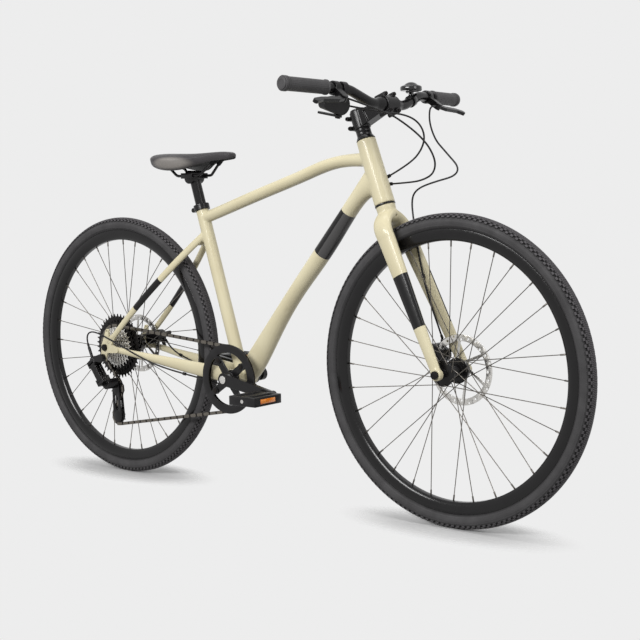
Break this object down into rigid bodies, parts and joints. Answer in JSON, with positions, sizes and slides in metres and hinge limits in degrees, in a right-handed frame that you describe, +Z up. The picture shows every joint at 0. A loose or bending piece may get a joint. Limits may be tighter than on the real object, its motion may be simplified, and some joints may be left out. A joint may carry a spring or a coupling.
{
  "type": "hybrid bicycle",
  "caption": "Hybrid bicycle with a bent top tube, rigid fork, disc brakes, chain drive with a rear derailleur, riser bar, bell and padded saddle.",
  "frame": {"origin": "on the ground midway between the two axles, in the frame's middle plane", "axes": "+X forward along the bike, +Y to the rider's left, +Z up"},
  "size_m": [1.7758, 0.653, 1.0026],
  "materials": {
    "frame_paint": "gloss",
    "black_metal": "satin",
    "dark_steel": "satin",
    "bright_steel": "satin",
    "housing": "satin",
    "grip_rubber": "matte",
    "black_plastic": "matte",
    "gloss_black": "gloss",
    "tyre_rubber": "matte",
    "saddle_cover": "matte"
  },
  "bodies": {
    "frame": {"head_tube": "frame_paint", "top_tube": "frame_paint", "down_tube": "frame_paint", "seat_tube": "frame_paint", "bottom_bracket_shell": "frame_paint", "chainstays": "frame_paint", "seatstays": "frame_paint", "rear_dropouts": "frame_paint", "frame_bearings": "black_metal", "seat_clamp": "black_metal", "rear_axle": "dark_steel", "rear_caliper": "black_metal", "frame_cables": "housing", "chain": "bright_steel", "derailleur_body": "black_metal"},
    "steering": {"fork": "frame_paint", "headset_spacers": "black_metal", "stem": "black_metal", "stem_faceplate": "black_metal", "stem_bolts": "dark_steel", "handlebar": "black_metal", "grips": "grip_rubber", "brake_brackets": "black_metal", "shifter_pod": "black_plastic", "bell": "gloss_black", "front_axle": "dark_steel", "front_caliper": "black_metal", "front_brake_cable": "housing", "steering_cables": "housing"},
    "front_wheel": {"front_tyre": "tyre_rubber", "front_rim": "black_metal", "front_spokes": "bright_steel", "front_hub": "black_metal", "front_rotor": "bright_steel"},
    "rear_wheel": {"rear_tyre": "tyre_rubber", "rear_rim": "black_metal", "rear_spokes": "bright_steel", "rear_hub": "black_metal", "rear_rotor": "bright_steel"},
    "cassette": {"cassette": "bright_steel"},
    "crank": {"crank_arms": "black_metal", "chainring": "black_metal", "crank_axles": "dark_steel"},
    "pedal_right": {"pedal_right": "black_plastic"},
    "pedal_left": {"pedal_left": "black_plastic"},
    "seat": {"seatpost": "black_metal", "saddle_rails": "black_metal", "saddle": "saddle_cover"},
    "brake_lever_right": {"brake_lever_right": "black_metal"},
    "brake_lever_left": {"brake_lever_left": "black_metal"},
    "front_caliper_arm": {"front_caliper_arm": "black_metal"},
    "rear_caliper_arm": {"rear_caliper_arm": "black_metal"},
    "shift_lever": {"shift_lever": "black_plastic"},
    "bell_striker": {"bell_striker": "gloss_black"},
    "derailleur_outer_link": {"derailleur_outer_link": "black_metal"},
    "derailleur_inner_link": {"derailleur_inner_link": "dark_steel"},
    "derailleur_knuckle": {"derailleur_knuckle": "black_metal"},
    "derailleur_cage": {"derailleur_cage": "black_metal"},
    "guide_pulley": {"guide_pulley": "black_plastic"},
    "tension_pulley": {"tension_pulley": "black_plastic"}
  },
  "joints": [
    {"name": "steering", "type": "hinge", "parent": "frame", "child": "steering", "pos_m": [0.36056, 0, 0.72265], "axis": [-0.3289, 0, 0.9444], "range_deg": [-75, 75], "deforming": ["steering_cables"]},
    {"name": "front_wheel_spin", "type": "hinge", "parent": "steering", "child": "front_wheel", "pos_m": [0.537, 0, 0.351], "axis": [0, 1, 0], "continuous": true},
    {"name": "rear_wheel_spin", "type": "hinge", "parent": "frame", "child": "rear_wheel", "pos_m": [-0.537, 0, 0.351], "axis": [0, 1, 0], "continuous": true},
    {"name": "crank_spin", "type": "hinge", "parent": "frame", "child": "crank", "pos_m": [-0.09503, 0, 0.295], "axis": [0, 1, 0], "continuous": true, "deforming": ["chain"]},
    {"name": "cassette_spin", "type": "hinge", "parent": "frame", "child": "cassette", "pos_m": [-0.537, 0, 0.351], "axis": [0, 1, 0], "continuous": true},
    {"name": "pedal_right_spin", "type": "hinge", "parent": "crank", "child": "pedal_right", "pos_m": [0.07301, 0, 0.26929], "axis": [0, 1, 0], "continuous": true},
    {"name": "pedal_left_spin", "type": "hinge", "parent": "crank", "child": "pedal_left", "pos_m": [-0.26308, 0, 0.32071], "axis": [0, 1, 0], "continuous": true},
    {"name": "seatpost_slide", "type": "slide", "parent": "frame", "child": "seat", "axis": [-0.2924, 0, 0.9563], "range_m": [-0.05, 0.18]},
    {"name": "brake_lever_right_pull", "type": "hinge", "parent": "steering", "child": "brake_lever_right", "pos_m": [0.3873, -0.17805, 0.95051], "axis": [0.6143, -0.0669, 0.7862], "range_deg": [-18, 0], "stiffness_Nm_per_rad": 1},
    {"name": "brake_lever_left_pull", "type": "hinge", "parent": "steering", "child": "brake_lever_left", "pos_m": [0.3873, 0.17805, 0.95051], "axis": [0.6143, 0.0669, 0.7862], "range_deg": [0, 18], "stiffness_Nm_per_rad": 1},
    {"name": "front_caliper_arm_turn", "type": "hinge", "parent": "steering", "child": "front_caliper_arm", "pos_m": [0.47638, 0, 0.386], "axis": [0, 1, 0], "range_deg": [0, 11]},
    {"name": "rear_caliper_arm_turn", "type": "hinge", "parent": "frame", "child": "rear_caliper_arm", "pos_m": [-0.47043, 0, 0.37263], "axis": [0, 1, 0], "range_deg": [0, 11]},
    {"name": "shift_lever_push", "type": "hinge", "parent": "steering", "child": "shift_lever", "pos_m": [0.34755, -0.14921, 0.91585], "axis": [-0.2401, 0.0138, -0.9706], "range_deg": [-38, 0], "stiffness_Nm_per_rad": 0.3},
    {"name": "bell_striker_pull", "type": "hinge", "parent": "steering", "child": "bell_striker", "pos_m": [0.36806, 0.0815, 0.97968], "axis": [0, 0, 1], "range_deg": [0, 25], "stiffness_Nm_per_rad": 0.05},
    {"name": "derailleur_outer_link_turn", "type": "hinge", "parent": "frame", "child": "derailleur_outer_link", "pos_m": [-0.578, -0.084, 0.302], "axis": [0.8025, 0, 0.5967], "range_deg": [-33, 9], "deforming": ["chain"]},
    {"name": "derailleur_inner_link_turn", "type": "hinge", "parent": "frame", "child": "derailleur_inner_link", "pos_m": [-0.578, -0.068, 0.302], "axis": [0.8025, 0, 0.5967], "range_deg": [-33, 9]},
    {"name": "derailleur_knuckle_turn", "type": "hinge", "parent": "derailleur_outer_link", "child": "derailleur_knuckle", "pos_m": [-0.549, -0.084, 0.263], "axis": [0.8025, 0, 0.5967], "range_deg": [-9, 33]},
    {"name": "derailleur_cage_swing", "type": "hinge", "parent": "derailleur_knuckle", "child": "derailleur_cage", "pos_m": [-0.54, 0, 0.2496], "axis": [0, 1, 0], "range_deg": [-35, 35], "stiffness_Nm_per_rad": 0.8, "deforming": ["chain"]},
    {"name": "guide_pulley_spin", "type": "hinge", "parent": "derailleur_cage", "child": "guide_pulley", "pos_m": [-0.53906, 0, 0.23363], "axis": [0, 1, 0], "continuous": true},
    {"name": "tension_pulley_spin", "type": "hinge", "parent": "derailleur_cage", "child": "tension_pulley", "pos_m": [-0.53462, 0, 0.15776], "axis": [0, 1, 0], "continuous": true}
  ],
  "couplings": [
    {"joint": "cassette_spin", "follows": "crank_spin", "ratio": 1.4286},
    {"joint": "guide_pulley_spin", "follows": "crank_spin", "ratio": -3.6364},
    {"joint": "tension_pulley_spin", "follows": "crank_spin", "ratio": 3.6364},
    {"joint": "front_caliper_arm_turn", "follows": "brake_lever_left_pull", "ratio": 0.6},
    {"joint": "rear_caliper_arm_turn", "follows": "brake_lever_right_pull", "ratio": -0.6},
    {"joint": "derailleur_inner_link_turn", "follows": "derailleur_outer_link_turn", "ratio": 1},
    {"joint": "derailleur_knuckle_turn", "follows": "derailleur_outer_link_turn", "ratio": -1}
  ]
}
